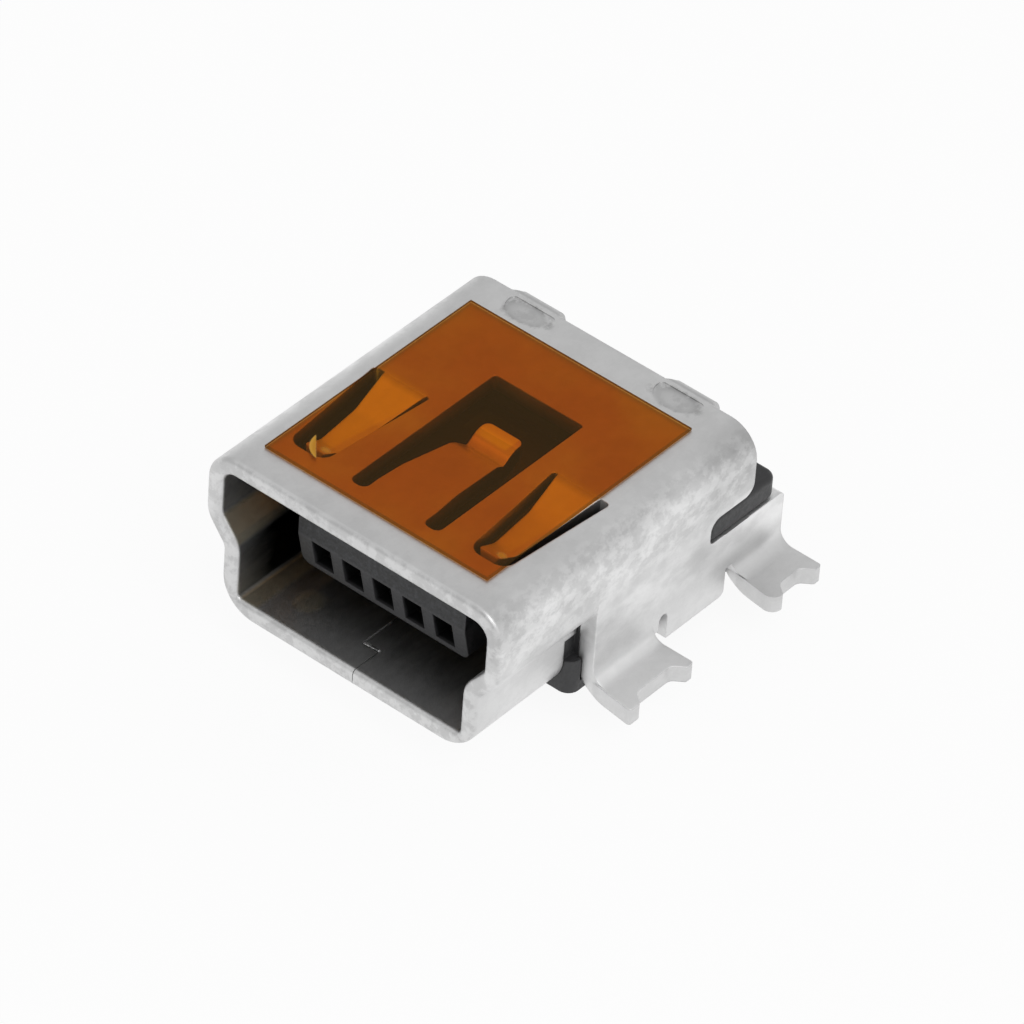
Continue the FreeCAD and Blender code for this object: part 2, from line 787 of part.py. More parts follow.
def make_housing(doc, size):
    """The moulded housing: floor, rear wall, ledge with lugs, tongue and pegs."""
    floor, ceiling, top = heights(size)
    body = doc.addObject("PartDesign::Body", "Housing")
    body.Label = "housing"
    gap = size["FitGap"]
    low = size["HousingGap"]
    half = size["PortWidth"] / 2 - gap
    sill_start = size["FloorDepth"] + gap
    front = size["SkirtStart"] + gap
    rear = size["ShellDepth"] - gap
    block = body_sketch(body, "BlockSection", "XZ_Plane", -front)
    draw_outline(block, both_sides([(half, ceiling - gap, size["TopCorner"]), (half, low, 0)]))
    add_feature(body, "Pad", "Block", block, rear - front, backwards=True)
    sill = body_sketch(body, "SillSection", "XZ_Plane", -sill_start)
    sill_half = size["PortWidth"] / 2 - size["SillRecess"]
    draw_box(sill, -sill_half, sill_half, low, size["SlitTop"] - gap)
    add_feature(body, "Pad", "Sill", sill, front - sill_start, backwards=True)
    foot = body_sketch(body, "FootOutline", "XY_Plane", low)
    foot_half = size["PortWidth"] / 2 + size["Sheet"] - size["FootInset"]
    draw_outline(foot, both_sides([
        (half, front, 0),
        (half, size["SkirtStart"] - gap, 0),
        (foot_half, size["SkirtStart"] - gap, 0),
        (foot_half, sill_start, size["FootRound"]),
    ]))
    add_feature(body, "Pad", "Foot", foot, size["FootHeight"] - low)
    heel = body_sketch(body, "HeelSection", "XZ_Plane", gap - size["SkirtStart"])
    draw_box(heel, -foot_half, foot_half, low, size["HeelHeight"])
    add_feature(body, "Pad", "Heel", heel, size["HeelLength"], backwards=True)
    ledge = body_sketch(body, "LedgeSection", "XZ_Plane", -rear)
    lug_high = ledge_top(size)
    draw_box(ledge, -half, half, low, lug_high)
    add_feature(body, "Pad", "Ledge", ledge, size["LedgeEnd"] - rear, backwards=True)
    lug = body_sketch(body, "LugOutline", "YZ_Plane")
    lug_start = size["SideSlotStart"] + gap
    lug_low = size["SideSlotBottom"] + size["LugGap"]
    draw_outline(lug, [
        (lug_start, lug_low, size["SideSlotRound"] / 2),
        (size["LedgeEnd"], lug_low, 0),
        (size["LedgeEnd"], lug_high, 0),
        (lug_start, lug_high, size["SideSlotRound"]),
    ])
    lug_span = size["PortWidth"] + (size["Sheet"] - size["LugInset"]) * 2
    add_feature(body, "Pad", "Lugs", lug, lug_span, symmetric=True)
    cavity = body_sketch(body, "CavitySection", "XZ_Plane", -sill_start)
    slope, step, narrow = port_half(size, as_size(0))[1:]
    above = top + size["Sheet"]
    draw_outline(cavity, both_sides([(slope[0], above, 0), slope[:2] + (0,), step[:2] + (0,), narrow]))
    add_feature(body, "Pocket", "Cavity", cavity, size["CavityDepth"] - sill_start)
    add_tongue(body, size)
    add_passages(body, size)
    add_pegs(body, size)
    reach = lug_span.value / 2
    round_edges(doc, body, "Fillet", "LugCorners", size["LugCorner"], lambda box: (
        near(box.XMin, box.XMax) and near(abs(box.XMax), reach)
        and near(box.YMin, box.YMax) and near(box.YMax, size["LedgeEnd"])))
    round_edges(doc, body, "Fillet", "LugEdges", size["LugRound"], lambda box: (
        near(box.ZMin, box.ZMax) and near(box.ZMax, lug_high)
        and (near(max(-box.XMin, box.XMax), reach) or near(box.YMin, size["LedgeEnd"]))))
    return body


def near(place, target):
    """If two places along an axis are the same."""
    return abs(as_size(place).value - as_size(target).value) < 0.001


def add_tongue(body, size):
    """The tongue that stands in the mouth, its nose slanting back below the windows' top."""
    nose = size["NoseSetback"]
    low = size["TongueUnderside"]
    high = low + size["TongueThickness"]
    half = size["TongueWidth"] / 2
    rounding = size["TongueRound"]
    section = body_sketch(body, "TongueSection", "XZ_Plane", -nose)
    draw_outline(section, both_sides([(half, high, rounding), (half, low, rounding)]))
    add_feature(body, "Pad", "Tongue", section, size["CavityDepth"] - nose, backwards=True)
    slant = body_sketch(body, "NoseSlantOutline", "YZ_Plane")
    draw_outline(slant, [
        (nose, size["WindowTop"], 0),
        (nose, low, 0),
        (nose + size["NoseSlant"], low, 0),
    ])
    add_feature(body, "Pocket", "NoseCut", slant, size["TongueWidth"], symmetric=True)


def contact_places(size):
    """How far each contact stands from the middle one."""
    return [size["ContactPitch"] * (number - (CONTACT_COUNT - 1) / 2) for number in range(CONTACT_COUNT)]


def add_passages(body, size):
    """Windows in the nose, grooves under the tongue, and the contacts' way through the rear."""
    gap = size["ContactGap"]
    half = size["SlotWidth"] / 2
    snug = size["ContactWidth"] / 2 + gap
    around = size["ContactSheet"] / 2 + gap
    low = size["TongueUnderside"] - size["Sheet"]
    sill = size["TongueUnderside"] + size["RimThickness"]
    rim_end = size["NoseSetback"] + size["NoseSlant"] + size["RimDepth"]
    shaft = size["TailSetback"] - around
    windows = body_sketch(body, "Windows", "XZ_Plane")
    grooves = body_sketch(body, "Grooves", "XY_Plane", low)
    holes = body_sketch(body, "Holes", "XZ_Plane", -size["CavityDepth"])
    shafts = body_sketch(body, "Shafts", "XY_Plane")
    for place in contact_places(size):
        draw_box(windows, place - half, place + half, sill, size["WindowTop"])
        draw_box(grooves, place - half, place + half, rim_end, size["CavityDepth"])
        draw_box(holes, place - snug, place + snug, size["ContactHeight"] - around,
                 size["ContactHeight"] + around)
        draw_box(shafts, place - snug, place + snug, shaft, size["LedgeEnd"])
    add_feature(body, "Pocket", "WindowPocket", windows, rim_end)
    add_feature(body, "Pocket", "GroovePocket", grooves, size["WindowTop"] - low, backwards=True)
    add_feature(body, "Pocket", "HolePocket", holes, size["LedgeEnd"] - size["CavityDepth"])
    add_feature(body, "Pocket", "ShaftPocket", shafts, size["ContactHeight"] + around, backwards=True)


def add_pegs(body, size):
    """The two pegs that locate the socket in the board."""
    low = size["HousingGap"]
    sketch = body_sketch(body, "PegCircles", "XY_Plane", low)
    for place in (-size["PegSpacing"] / 2, size["PegSpacing"] / 2):
        draw_circle(sketch, place, size["PegSetback"], size["PegDiameter"] / 2)
    add_feature(body, "Pad", "Pegs", sketch, size["PegLength"] + low, backwards=True)
    bottom = -size["PegLength"]
    round_edges(body.Document, body, "Chamfer", "PegChamfers", size["PegChamfer"], lambda box: (
        near(box.ZMax, bottom)))


def make_contact(doc, size, number, place):
    """A contact: foot on the board, upright behind the housing, and a sprung nose in the tongue."""
    body = doc.addObject("PartDesign::Body", f"Contact{number}")
    body.Label = f"contact_{number}"
    half = size["ContactSheet"] / 2
    path = body_sketch(body, f"ContactPath{number}", "YZ_Plane")
    draw_outline(path, [
        (size["FootEnd"], half, 0),
        (size["TailSetback"], half, size["ContactBend"]),
        (size["TailSetback"], size["ContactHeight"], size["ContactBend"]),
        (size["ContactBow"], size["ContactHeight"], size["ContactSheet"] * 4),
        (size["CrownSetback"], size["CrownHeight"], size["ContactSheet"] * 3),
        (size["TipSetback"], size["TipHeight"], 0),
    ], closed=False)
    section = body_sketch(body, f"ContactSection{number}", "XZ_Plane", -size["FootEnd"])
    draw_box(section, -size["ContactWidth"] / 2, size["ContactWidth"] / 2, 0, size["ContactSheet"])
    doc.recompute()
    strip = body.newObject("PartDesign::AdditivePipe", f"ContactStrip{number}")
    strip.Profile = section
    strip.Spine = (path, [f"Edge{edge}" for edge in range(1, len(path.Shape.Edges) + 1)])
    bind(body, "Placement.Base.x", place)
    return body


def make_film(doc, size):
    """The film on the top that a suction nozzle picks the socket up by."""
    floor, ceiling, top = heights(size)
    body = doc.addObject("PartDesign::Body", "PickupFilm")
    body.Label = "pickup_film"
    sketch = body_sketch(body, "FilmOutline", "XY_Plane", top + size["FilmGap"])
    middle = size["FilmShift"]
    half = size["FilmWidth"] / 2
    draw_box(sketch, middle - half, middle + half, size["FilmStart"], size["FilmStart"] + size["FilmLength"])
    add_feature(body, "Pad", "FilmSheet", sketch, size["FilmThickness"])
    return body


def check(doc):
    """Stops where an object or its shape isn't sound."""
    for item in doc.Objects:
        if "Invalid" in item.State or "Error" in item.State:
            raise RuntimeError(f"{item.Name} is {item.State}")
        if hasattr(item, "Shape") and (item.Shape.isNull() or not item.Shape.isValid()):
            raise RuntimeError(f"{item.Name} has no sound shape")


doc = FreeCAD.newDocument("MiniSocket")
size = fill_sheet(doc)
pieces = [make_shell(doc, size), make_housing(doc, size), make_film(doc, size)]
for number, place in enumerate(contact_places(size), start=1):
    pieces.append(make_contact(doc, size, number, place))
for piece in pieces:
    bind(piece, "Placement.Base.y", -size["PegSetback"])
doc.recompute()
check(doc)
os.makedirs("parts", exist_ok=True)
for piece in pieces:
    piece.Shape.exportStep(f"parts/{piece.Label}.step")
    print(piece.Label, round(piece.Shape.Volume, 3), len(piece.Shape.Solids))
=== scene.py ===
import json
import math

import bpy
from mathutils import Matrix, Vector

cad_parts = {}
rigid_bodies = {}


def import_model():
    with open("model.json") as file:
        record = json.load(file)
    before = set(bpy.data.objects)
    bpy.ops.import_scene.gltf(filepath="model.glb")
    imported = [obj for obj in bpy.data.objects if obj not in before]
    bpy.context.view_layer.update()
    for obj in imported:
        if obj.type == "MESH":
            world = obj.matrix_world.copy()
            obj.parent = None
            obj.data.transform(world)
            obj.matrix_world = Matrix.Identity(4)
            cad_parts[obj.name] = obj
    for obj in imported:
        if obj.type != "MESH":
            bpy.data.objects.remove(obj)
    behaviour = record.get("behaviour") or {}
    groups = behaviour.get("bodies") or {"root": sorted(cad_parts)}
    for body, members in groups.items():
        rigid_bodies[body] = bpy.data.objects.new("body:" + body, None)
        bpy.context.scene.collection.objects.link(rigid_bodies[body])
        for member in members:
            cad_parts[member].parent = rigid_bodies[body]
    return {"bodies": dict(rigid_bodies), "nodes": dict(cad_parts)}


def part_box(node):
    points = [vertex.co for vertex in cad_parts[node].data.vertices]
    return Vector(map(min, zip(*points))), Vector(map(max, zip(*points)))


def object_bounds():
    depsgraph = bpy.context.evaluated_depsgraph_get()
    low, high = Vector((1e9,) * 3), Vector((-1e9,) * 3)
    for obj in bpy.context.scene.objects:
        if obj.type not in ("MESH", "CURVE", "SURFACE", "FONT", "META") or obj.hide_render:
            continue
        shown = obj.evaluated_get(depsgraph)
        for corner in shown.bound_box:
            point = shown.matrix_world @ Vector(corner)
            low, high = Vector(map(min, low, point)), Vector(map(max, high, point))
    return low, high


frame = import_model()

# A mini usb socket, dressed for a product photograph. Metres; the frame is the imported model's:
# the mouth faces -Y and the board's surface is at Z = 0.
MM = 0.001

nodes = frame["nodes"]
packed = set(nodes.values()) | set(frame["bodies"].values())
for item in list(bpy.data.objects):
    if item not in packed:
        bpy.data.objects.remove(item)
bpy.context.view_layer.update()
cad_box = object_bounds()

shell_low, shell_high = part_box("shell")
film_low, film_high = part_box("pickup_film")

# Places on the shell in millimetres: X across the mouth, Y along the socket, Z up from the board.
# A pair is where something begins and ends, or the range over which it fades.
TOP = shell_high.z / MM
CEILING = 3.53
MOUTH = -3.98
FOLD = (3.30, 3.70)
STEP = (1.76, 2.38)
PORT_NARROW = 2.955
PORT_FLARE = 0.495
PORT_LEVELS = (0.28, CEILING - 0.11)
PORT_FLOOR = (0.5, 0.6)
TAB_ROOT = (3.82, 3.95)
TAB_TOP = (0.9, 1.3)
TAB_BETWEEN = (0.6, 1.6)
SPRING_ACROSS = (1.60, 2.95)
SPRING_ALONG = (-2.40, 0.30)
LATCH_SIDE = (0.55, 0.60)
LATCH_BEND = (0.14, 0.74)
HOLE_SIDE = (3.2, 3.3)
HOLE_ALONG = (-3.0, 2.5)
COIN_CENTRE = (1.96, 3.65)
COIN_RADII = (0.60, 0.32)
COIN_WALLS = (3.2, 4.0)
COIN_ALONG = (3.2, 3.98)
SHEET_REAR = (4.03, 4.12)
AMBER_LIGHT_CENTRE = (-1.82, -3.0)
AMBER_LIGHT_RADII = (0.34, 0.40)
KEY_LEFT = (-0.24, -0.20)
KEY_ACROSS = (-0.24, 0.22)
KEY_ALONG = (-3.15, -2.3)
KEY_FRONT = (-3.20, -3.12)

# Brightness of the plating and of the pressed marks from their middle to their rim, how strongly
# the plating is mottled, and the share of that which the top shows.
METAL = 0.75
COIN_METAL = (0.63, 0.50)
CLOUDING = 0.02
MOTTLE = 0.045
TOP_SHARE = 0.3

# What is added to the brightness at these places. It is a painted highlight on the tabs' flats, the
# rear legs, the springs and the latch, and painted shade on the tabs' cut edges. The tabs' pair is
# for the front and the rear ones, and the latch's pair for its valleys and its highlight stripes.
RIM_SHADE = -0.07
LIP_SHADE = -0.04
TAB_EDGE_SHADE = -0.08
TAB_HIGHLIGHT = (0.32, 0.12)
REAR_SIDE_SHADE = -0.16
SKIRT_SHADE = -0.04
REAR_LEG_HIGHLIGHT = 0.12
SPRING_HIGHLIGHT = 0.13
LATCH_HIGHLIGHT = (0.06, 0.30)

# The share of the light taken off at these places, as painted shade in the port and on the walls of
# the holes and pressed marks, and what the painted amber light gives back of it. The port's pairs run
# from the mouth inwards, and the holes' pair from their foot to their top.
PORT_SHADE = (0.08, 0.66)
PORT_WALL_SHADE = (0.33, 0.50)
AMBER_LIGHT_GAIN = 0.30
HOLE_SHADE = (0.75, 0.1)
PRESSED_SHADE = 0.3
SHEET_REAR_LOSS = 0.28

BEVEL_SAMPLES = 6
WHITE = (1, 1, 1, 1)


class Graph:
    """The nodes of one material, added and wired one after another."""

    def __init__(self, name):
        self.material = bpy.data.materials.new(name)
        self.material.use_nodes = True
        self.tree = self.material.node_tree
        self.tree.nodes.clear()
        self.output = self.tree.nodes.new("ShaderNodeOutputMaterial")

    def add(self, kind, settings=None, **sockets):
        """A node. Sockets are named with underscores; a value is a constant or another socket."""
        node = self.tree.nodes.new(f"ShaderNode{kind}")
        for name, value in (settings or {}).items():
            setattr(node, name, value)
        for name, value in sockets.items():
            self.feed(self.find(node, name), value)
        return node

    def find(self, node, name):
        """A node's input by its name, or by its number as in _1."""
        if name.startswith("_"):
            return node.inputs[int(name[1:])]
        return node.inputs[name.replace("_", " ")]

    def feed(self, socket, value):
        """Sets a socket or wires it."""
        if isinstance(value, bpy.types.NodeSocket):
            self.tree.links.new(value, socket)
        else:
            socket.default_value = value

    def maths(self, operation, first, second=0.0, clamp=False):
        """The outcome of a sum."""
        settings = {"operation": operation, "use_clamp": clamp}
        return self.add("Math", settings, _0=first, _1=second).outputs[0]

    def blend(self, share, first, second, how="MIX"):
        """Two colours mixed."""
        settings = {"data_type": "RGBA", "blend_type": how}
        return self.add("Mix", settings, _0=share, _6=first, _7=second).outputs[2]

    def mix(self, share, first, second):
        """Two values mixed."""
        return self.add("Mix", {"data_type": "FLOAT"}, _0=share, _2=first, _3=second).outputs[0]

    def ramp(self, value, low, high, start=0.0, end=1.0):
        """A value brought smoothly from one range into another."""
        settings = {"interpolation_type": "SMOOTHSTEP"}
        return self.add("MapRange", settings, _0=value, _1=low, _2=high, _3=start, _4=end).outputs[0]

    def fade(self, value, low, high):
        """1 below a range, falling to 0 above it."""
        return self.ramp(value, low, high, 1.0, 0.0)

    def band(self, value, low, high, blur):
        """1 where a value lies between two limits, fading over each of them."""
        rising = self.ramp(value, low - blur, low + blur)
        return self.maths("MULTIPLY", rising, self.fade(value, high - blur, high + blur))

    def shared(self, first, *others):
        """What several masks have in common."""
        for other in others:
            first = self.maths("MULTIPLY", first, other)
        return first

    def most(self, first, *others):
        """The greatest of several values."""
        for other in others:
            first = self.maths("MAXIMUM", first, other)
        return first

    def raised(self, value, mask, amount):
        """A value with an amount added to it as far as a mask goes."""
        return self.maths("ADD", value, self.maths("MULTIPLY", mask, amount))

    def inverse(self, mask):
        """What a mask leaves out."""
        return self.maths("SUBTRACT", 1.0, mask)

    def oval(self, first, second, centre, radii):
        """The squared distance from an oval's centre, which is 1 on the oval itself."""
        first = self.maths("DIVIDE", self.maths("SUBTRACT", first, centre[0]), radii[0])
        second = self.maths("DIVIDE", self.maths("SUBTRACT", second, centre[1]), radii[1])
        return self.maths("ADD", self.maths("POWER", first, 2.0), self.maths("POWER", second, 2.0))

    def place(self):
        """The position on the object in millimetres."""
        spot = self.add("TexCoord").outputs["Object"]
        return self.add("VectorMath", {"operation": "SCALE"}, _0=spot, Scale=1 / MM).outputs[0]

    def axes(self, vector):
        """A vector's three parts."""
        return self.add("SeparateXYZ", None, Vector=vector).outputs

    def noise(self, place, scale, detail=4.0, roughness=0.55, stretch=(1, 1, 1), offset=(0, 0, 0)):
        """Cloudy noise. The scale is in cells a millimetre, and stretch lengthens it along an axis."""
        shrink = [1 / length for length in stretch]
        spot = self.add("Mapping", None, Vector=place, Scale=shrink, Location=offset).outputs[0]
        cloud = self.add("TexNoise", None, Vector=spot, Scale=scale, Detail=detail, Roughness=roughness)
        return cloud.outputs[0]

    def soft_edge(self, radius):
        """The surface's direction with its edges rounded by a radius in millimetres."""
        return self.add("Bevel", {"samples": BEVEL_SAMPLES}, Radius=radius * MM).outputs[0]

    def bump(self, strength, height, distance, **sockets):
        """A fine relief with its depth in millimetres."""
        relief = self.add("Bump", None, Strength=strength, Distance=distance * MM, Height=height, **sockets)
        return relief.outputs[0]

    def finish(self, shader):
        """Ends the material with its shader."""
        self.feed(self.output.inputs["Surface"], shader.outputs[0])
        return self.material


class Plating:
    """What the shell's material asks of each point: where it is, how it faces, and its mottling."""

    def __init__(self, graph):
        self.place = graph.place()
        self.side, self.along, self.high = graph.axes(self.place)
        self.across = graph.maths("ABSOLUTE", self.side)
        self.facing = graph.add("NewGeometry").outputs["Normal"]
        self.flat = graph.ramp(graph.maths("ABSOLUTE", graph.axes(self.facing)[2]), 0.35, 0.75)
        self.upright = graph.inverse(self.flat)
        self.folded = graph.ramp(self.across, *FOLD)
        self.streaks = graph.noise(self.place, 1.8, 6.0, 0.6, stretch=(1, 1.9, 1), offset=(0, 5, 2))
        self.clumps = graph.noise(self.place, 3.6, 6.0, 0.66, stretch=(1, 1.3, 1), offset=(4, 1, 7))


def mottled(graph, at):
    """The cloudy plating. The folded sides are mottled more than the top, most of all under the fold."""
    beside = graph.shared(at.folded, graph.ramp(at.high, 0.9, 1.5))
    under_fold = graph.shared(beside, graph.ramp(at.high, TOP - 1.9, TOP - 0.9))
    rim = graph.fade(at.along, MOUTH + 0.02, MOUTH + 0.10)
    cloud = graph.noise(at.place, 0.6, 6.0, 0.6)
    shade = graph.ramp(cloud, 0.3, 0.7, METAL - CLOUDING, METAL + CLOUDING)
    streak = graph.ramp(at.streaks, 0.36, 0.64, -MOTTLE, MOTTLE)
    shade = graph.raised(shade, streak, graph.maths("ADD", TOP_SHARE, beside))
    clump = graph.ramp(at.clumps, 0.42, 0.58, -MOTTLE, MOTTLE)
    shade = graph.raised(shade, clump, graph.maths("ADD", TOP_SHARE, graph.most(under_fold, rim)))
    return graph.raised(shade, rim, RIM_SHADE)


def graded(graph, at, shade):
    """The brightness that differs from one part of the folded sheet to another."""
    # The solder tabs' flats get a painted highlight, stronger on the front ones than on the rear ones,
    # and their cut edges get painted shade.
    tab = graph.shared(graph.ramp(at.across, *TAB_ROOT), graph.fade(at.high, *TAB_TOP))
    bright = graph.raised(TAB_EDGE_SHADE, at.flat, graph.ramp(at.along, *TAB_BETWEEN, *TAB_HIGHLIGHT))
    shade = graph.raised(shade, tab, bright)
    # The sides are darker at their rear end and low down, and so is the top near the lip.
    rear_side = graph.shared(graph.ramp(at.across, 3.0, 3.6), graph.ramp(at.along, 2.2, 3.6),
                             graph.ramp(at.high, 2.2, 2.9))
    shade = graph.raised(shade, rear_side, REAR_SIDE_SHADE)
    skirt = graph.shared(at.folded, graph.band(at.high, 0.7, 1.7, 0.3))
    shade = graph.raised(shade, skirt, SKIRT_SHADE)
    shade = graph.maths("ADD", shade, graph.ramp(at.along, MOUTH + 0.1, MOUTH + 1.0, LIP_SHADE, 0.0))
    # The rear legs get a painted highlight.
    rear_leg = graph.shared(at.folded, graph.ramp(at.along, 2.4, 3.0), graph.band(at.high, 1.0, 2.4, 0.2))
    shade = graph.raised(shade, rear_leg, REAR_LEG_HIGHLIGHT)
    # The springs and the latch's bent end get a painted highlight where they dip below the top, in
    # stripes across the latch.
    dipped = graph.shared(at.flat, graph.ramp(at.high, 2.8, 2.9),
                          graph.fade(at.high, TOP - 0.045, TOP - 0.015))
    springs = graph.shared(dipped, graph.band(at.across, *SPRING_ACROSS, 0.02),
                           graph.band(at.along, *SPRING_ALONG, 0.15))
    shade = graph.raised(shade, springs, SPRING_HIGHLIGHT)
    latch = graph.shared(dipped, graph.fade(at.across, *LATCH_SIDE), graph.band(at.along, *LATCH_BEND, 0.03))
    highlight_stripes = graph.noise(at.place, 4.5, 0.0, stretch=(20, 1, 1))
    return graph.raised(shade, latch, graph.ramp(highlight_stripes, 0.38, 0.50, *LATCH_HIGHLIGHT))


def port_mask(graph, at):
    """1 on the port's inner walls and floor, behind the lip."""
    wide = graph.ramp(at.high, *STEP, PORT_NARROW, PORT_NARROW + PORT_FLARE)
    inside = graph.fade(graph.maths("SUBTRACT", at.across, wide), 0.10, 0.20)
    level = graph.band(at.high, *PORT_LEVELS, 0.05)
    return graph.shared(inside, level, graph.ramp(at.along, MOUTH + 0.05, MOUTH + 0.15))


def amber_light_mask(graph, at):
    """1 where faint olive light, let in through the amber film above the holes, is painted: along the
    port's left slope, in the left of its floor and beside it.
    """
    on_floor = graph.fade(at.high, *PORT_FLOOR)
    corner = graph.shared(graph.band(at.side, -2.90, -2.45, 0.08), on_floor)
    patch = graph.ramp(graph.oval(at.side, at.along, AMBER_LIGHT_CENTRE, AMBER_LIGHT_RADII), 0.3, 1.3, 0.8, 0.0)
    slope = graph.shared(graph.band(at.high, *STEP, 0.06), graph.fade(at.side, -2.0, -1.0))
    return graph.most(slope, corner, graph.shared(patch, on_floor))


def port_painted_shade(graph, at, amber_light):
    """Painted shade in the port, most of all deep inside and on its upright walls."""
    uneven_shade = graph.noise(at.place, 2.5, 5.0, 0.6, stretch=(1, 3, 1), offset=(3, 3, 3))
    deep = graph.ramp(at.along, MOUTH + 0.1, MOUTH + 1.7, *PORT_SHADE)
    deep = graph.maths("ADD", deep, graph.ramp(uneven_shade, 0.35, 0.65, -0.06, 0.06))
    walls = graph.shared(at.upright, graph.fade(at.high, 1.7, 1.9))
    walls = graph.shared(walls, graph.ramp(at.along, MOUTH, MOUTH + 0.6, *PORT_WALL_SHADE))
    deep = graph.maths("ADD", deep, walls, clamp=True)
    # The painted amber light eases the painted shade.
    return graph.maths("SUBTRACT", deep, graph.maths("MULTIPLY", amber_light, AMBER_LIGHT_GAIN), clamp=True)


def cut_painted_shade(graph, at):
    """Painted shade on the cut walls of the holes, which light hardly reaches, and on the walls of the
    pressed marks; the sheet's rear edge is darker too.
    """
    hole = graph.shared(at.upright, graph.band(at.high, CEILING - 0.4, TOP - 0.03, 0.01),
                        graph.fade(at.across, *HOLE_SIDE), graph.band(at.along, *HOLE_ALONG, 0.1),
                        graph.ramp(at.high, CEILING, TOP, *HOLE_SHADE))
    pressed = graph.shared(at.upright, graph.band(at.along, *COIN_WALLS, 0.02),
                           graph.ramp(at.high, TOP - 0.08, TOP - 0.04), PRESSED_SHADE)
    rear = graph.shared(graph.ramp(at.along, *SHEET_REAR), graph.ramp(at.high, 3.3, 3.6), SHEET_REAR_LOSS)
    return graph.most(hole, pressed, rear)


def painted_key_glints(graph, at, shade):
    """Painted glints on the key's edges in the floor: a light line down its left edge, and glints
    broken up along its front.
    """
    left = graph.shared(graph.band(at.side, *KEY_LEFT, 0.01), graph.band(at.along, *KEY_ALONG, 0.05))
    front = graph.shared(graph.band(at.side, *KEY_ACROSS, 0.02), graph.band(at.along, *KEY_FRONT, 0.02))
    key_edges = graph.shared(graph.most(left, front), graph.band(at.high, 0.3, 0.5, 0.02))
    glint = graph.ramp(graph.noise(at.place, 9.0, 1.0), 0.42, 0.58, 0.3, 1.0)
    glint = graph.most(glint, graph.fade(at.side, KEY_LEFT[1], KEY_LEFT[1] + 0.02))
    return graph.mix(key_edges, shade, glint)


def plated_metal():
    """Matt tin plating: cloudy, streaked along the sides, with painted shade in the port and the punched
    holes, painted highlights on the tabs, springs, latch and key, and painted amber light in the port.
    """
    graph = Graph("plated_metal")
    at = Plating(graph)
    shade = graded(graph, at, mottled(graph, at))
    # The two marks in front of the hooks are rough and grey, darkest round their rims.
    reach = graph.oval(at.across, at.along, COIN_CENTRE, COIN_RADII)
    reach = graph.maths("ADD", reach, graph.ramp(at.clumps, 0.35, 0.65, -0.25, 0.25))
    coin = graph.fade(reach, 0.55, 1.35)
    worn = graph.ramp(reach, 0.2, 0.9, *COIN_METAL)
    worn = graph.maths("ADD", worn, graph.ramp(at.clumps, 0.4, 0.6, -0.05, 0.05))
    shade = graph.mix(coin, shade, worn)
    # Painted shade in the port and on the cut walls, eased where painted amber light falls in the port.
    port = port_mask(graph, at)
    amber_light = graph.shared(amber_light_mask(graph, at), port)
    painted_shade = graph.most(graph.maths("MULTIPLY", port, port_painted_shade(graph, at, amber_light)), cut_painted_shade(graph, at))
    # Painted glints along the key's edges.
    shade = painted_key_glints(graph, at, graph.maths("MULTIPLY", shade, graph.inverse(painted_shade)))
    base = graph.add("CombineColor", None, _0=shade, _1=shade, _2=shade).outputs[0]
    # The painted amber light also tints the port's plating olive.
    base = graph.blend(amber_light, base, (1.0, 0.93, 0.74, 1), how="MULTIPLY")
    grain = graph.noise(at.place, 16.0, 5.0, 0.7)
    rough = graph.raised(graph.ramp(grain, 0.25, 0.75, 0.38, 0.50), coin, 0.12)
    # Edges are rounded in the shading, except round the pressed marks and at the lip.
    modelled = graph.most(graph.band(at.along, *COIN_ALONG, 0.02),
                          graph.band(at.along, MOUTH, MOUTH + 0.3, 0.01))
    normal = graph.add("Mix", {"data_type": "VECTOR"}, _0=modelled, _4=graph.soft_edge(0.045), _5=at.facing)
    height = graph.raised(graph.maths("MULTIPLY", grain, 0.6), at.clumps, 0.4)
    relief = graph.bump(0.35, height, 0.004, Normal=normal.outputs[1])
    return graph.finish(graph.add("BsdfPrincipled", None, Base_Color=base, Metallic=1.0, Roughness=rough,
                                  Normal=relief))


# The contacts' openings in the housing's slanted nose, in millimetres, and the plastic's colours,
# with those of the painted shadow above the openings.
NOSE = -3.01
NOSE_SLANT = 0.20
OPENING_LOW = 1.20
OPENING_HIGH = 2.04
OPENING_SIDE = (2.12, 2.16)
PLASTIC_DARK = (0.022, 0.022, 0.023, 1)
PLASTIC_PALE = (0.038, 0.038, 0.04, 1)
NOSE_BARS = (0.042, 0.042, 0.044, 1)
NOSE_SHADOW_DARK = (0.013, 0.013, 0.014, 1)
NOSE_SHADOW_PALE = (0.032, 0.033, 0.037, 1)
UNLIT = (0.004, 0.004, 0.004, 1)


